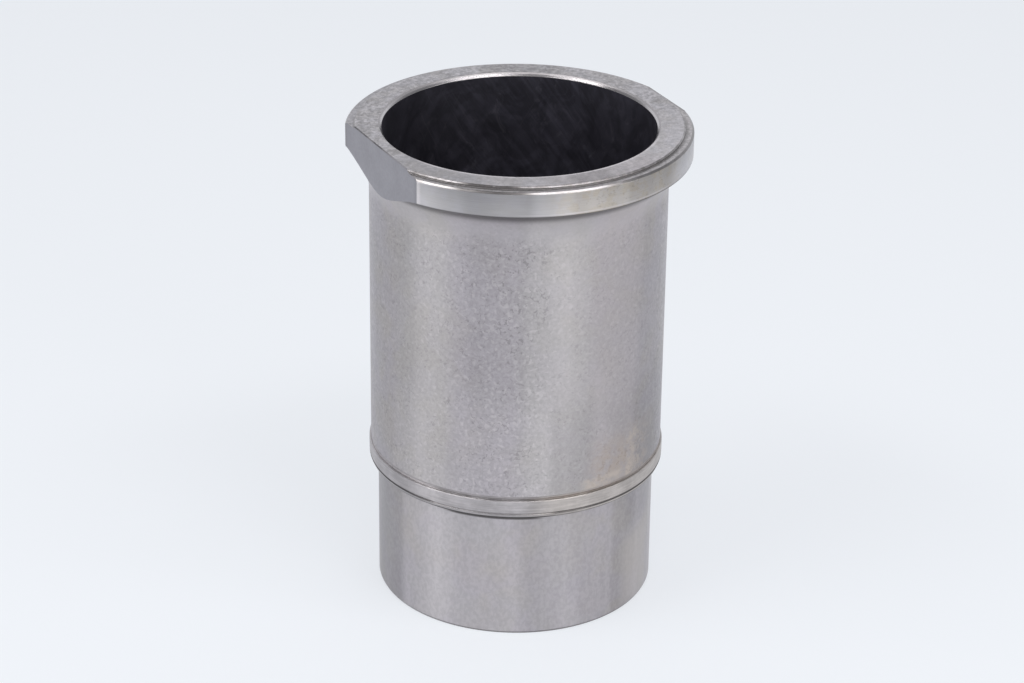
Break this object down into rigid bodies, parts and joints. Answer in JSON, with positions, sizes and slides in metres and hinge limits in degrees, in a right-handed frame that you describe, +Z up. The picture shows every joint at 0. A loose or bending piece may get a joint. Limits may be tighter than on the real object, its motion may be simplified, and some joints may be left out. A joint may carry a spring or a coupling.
{
  "type": "cylinder liner",
  "caption": "Flanged cylinder liner: a long thin-walled round sleeve, its stepped top flange cut by opposite flats, with a curved neck and a low collar above a slimmer skirt.",
  "frame": {"origin": "on the bore axis, in the plane of the bottom end face the liner stands on", "axes": "+Z up the bore axis towards the flange, -X out of the deep flat, +X out of the shallow flat"},
  "size_m": [0.1077, 0.1166, 0.1693],
  "materials": {
    "casting": "satin turned and ground grey iron, honed bore"
  },
  "bodies": {
    "root": {"cylinder_liner": "casting"}
  },
  "joints": []
}
